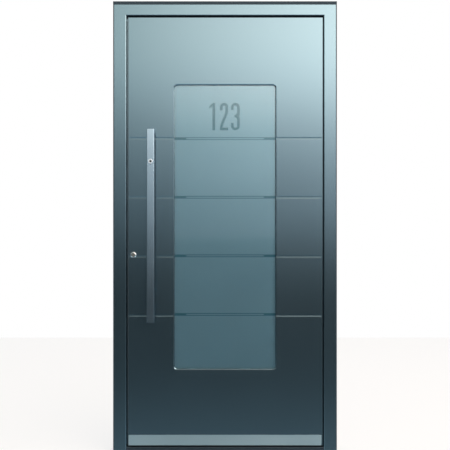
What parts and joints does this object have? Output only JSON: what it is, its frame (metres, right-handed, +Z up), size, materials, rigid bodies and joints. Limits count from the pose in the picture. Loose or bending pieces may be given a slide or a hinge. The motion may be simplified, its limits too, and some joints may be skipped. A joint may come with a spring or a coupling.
{
  "type": "glass entrance door",
  "caption": "Insulated aluminium entrance door with a tall frosted glass insert, full-length bar handle, multi-point lock and its frame with threshold; the leaf swings indoors on pin hinges.",
  "frame": {"origin": "middle of the threshold's underside, halfway along the door", "axes": "+X along the door from the lock side to the hinge side as seen from outside, +Y indoors, +Z up"},
  "size_m": [1.1, 0.2222, 2.212],
  "materials": {
    "paint": "metallic slate-blue powder coat, satin",
    "insulating_bar": "black glass-filled plastic",
    "seal": "black rubber",
    "wall_strip": "dark grey sealing strip",
    "threshold": "dark anodised",
    "steel": "fine brushed",
    "hinge": "metallic slate-blue powder coat, satin",
    "lock": "zinc plated",
    "chrome": "polished",
    "cylinder": "nickel plated",
    "core": "rigid foam",
    "frosted_glass": "frosted on its inner face",
    "glass": "clear",
    "spacer": "dark grey plastic",
    "scanner_eye": "black, clear-coated",
    "status_light": "dark blue lens"
  },
  "bodies": {
    "frame": {"lock_jamb_outer": "paint", "lock_jamb_inner": "paint", "hinge_jamb_outer": "paint", "hinge_jamb_inner": "paint", "head_outer": "paint", "head_inner": "paint", "frame_insulating_bars": "insulating_bar", "frame_stop_gasket": "seal", "wall_seal_strips": "wall_strip", "threshold_outer": "threshold", "threshold_bar": "insulating_bar", "threshold_inner": "threshold", "main_strike": "steel", "hook_strikes": "steel", "hinge_frame_parts": "hinge", "hinge_pins": "hinge"},
    "leaf": {"lock_stile_outer": "paint", "lock_stile_inner": "paint", "hinge_stile_outer": "paint", "hinge_stile_inner": "paint", "top_rail_outer": "paint", "top_rail_inner": "paint", "bottom_rail_outer": "paint", "bottom_rail_inner": "paint", "leaf_insulating_bars": "insulating_bar", "outer_skin": "paint", "inner_skin": "paint", "insulation_core": "core", "outer_pane": "frosted_glass", "middle_pane": "glass", "inner_pane": "glass", "glass_spacers": "spacer", "glass_gaskets": "seal", "inner_trim": "paint", "kick_plate": "steel", "bottom_seal": "seal", "handle_bar": "steel", "handle_end_caps": "steel", "handle_posts": "steel", "scanner_bezel": "chrome", "scanner_eye": "scanner_eye", "status_light": "status_light", "outer_rosette": "chrome", "inner_rosette": "steel", "cylinder_body": "cylinder", "lever_rosette": "steel", "lock_faceplate": "steel", "main_lock_case": "lock", "hook_lock_cases": "lock", "hinge_leaf_parts": "hinge"},
    "lever": {"lever_handle": "steel", "lever_spindle": "lock"},
    "latch": {"latch_bolt": "lock"},
    "bolt": {"dead_bolt": "lock"},
    "hook_low": {"lower_hook": "lock"},
    "hook_high": {"upper_hook": "lock"},
    "rods": {"drive_rods": "lock"},
    "key": {"key_plug": "cylinder", "thumb_turn": "steel"}
  },
  "joints": [
    {"name": "leaf_swing", "type": "hinge", "parent": "frame", "child": "leaf", "pos_m": [0.5025, 0.0575, 1.101], "axis": [0, 0, -1], "range_deg": [0, 100]},
    {"name": "lever_turn", "type": "hinge", "parent": "leaf", "child": "lever", "pos_m": [-0.45, 0.045, 1.058], "axis": [0, 1, 0], "range_deg": [0, 45], "stiffness_Nm_per_rad": 1, "springref_deg": -28.65},
    {"name": "latch_slide", "type": "slide", "parent": "leaf", "child": "latch", "axis": [1, 0, 0], "range_m": [0, 0.012]},
    {"name": "key_turn", "type": "hinge", "parent": "leaf", "child": "key", "pos_m": [-0.45, 0.03, 0.966], "axis": [0, 1, 0], "range_deg": [0, 360]},
    {"name": "bolt_slide", "type": "slide", "parent": "leaf", "child": "bolt", "axis": [-1, 0, 0], "range_m": [0, 0.02]},
    {"name": "lower_hook_swing", "type": "hinge", "parent": "leaf", "child": "hook_low", "pos_m": [-0.483, 0.03, 0.33], "axis": [0, 1, 0], "range_deg": [0, 90]},
    {"name": "upper_hook_swing", "type": "hinge", "parent": "leaf", "child": "hook_high", "pos_m": [-0.483, 0.03, 1.7], "axis": [0, 1, 0], "range_deg": [0, 90]},
    {"name": "rod_slide", "type": "slide", "parent": "leaf", "child": "rods", "axis": [0, 0, 1], "range_m": [0, 0.02]}
  ],
  "couplings": [
    {"joint": "latch_slide", "follows": "lever_turn", "m_per_rad": 0.01527},
    {"joint": "bolt_slide", "follows": "rod_slide", "ratio": 1},
    {"joint": "lower_hook_swing", "follows": "rod_slide", "rad_per_m": 78.53},
    {"joint": "upper_hook_swing", "follows": "rod_slide", "rad_per_m": 78.53},
    {"joint": "key_turn", "follows": "rod_slide", "rad_per_m": 314.15}
  ]
}
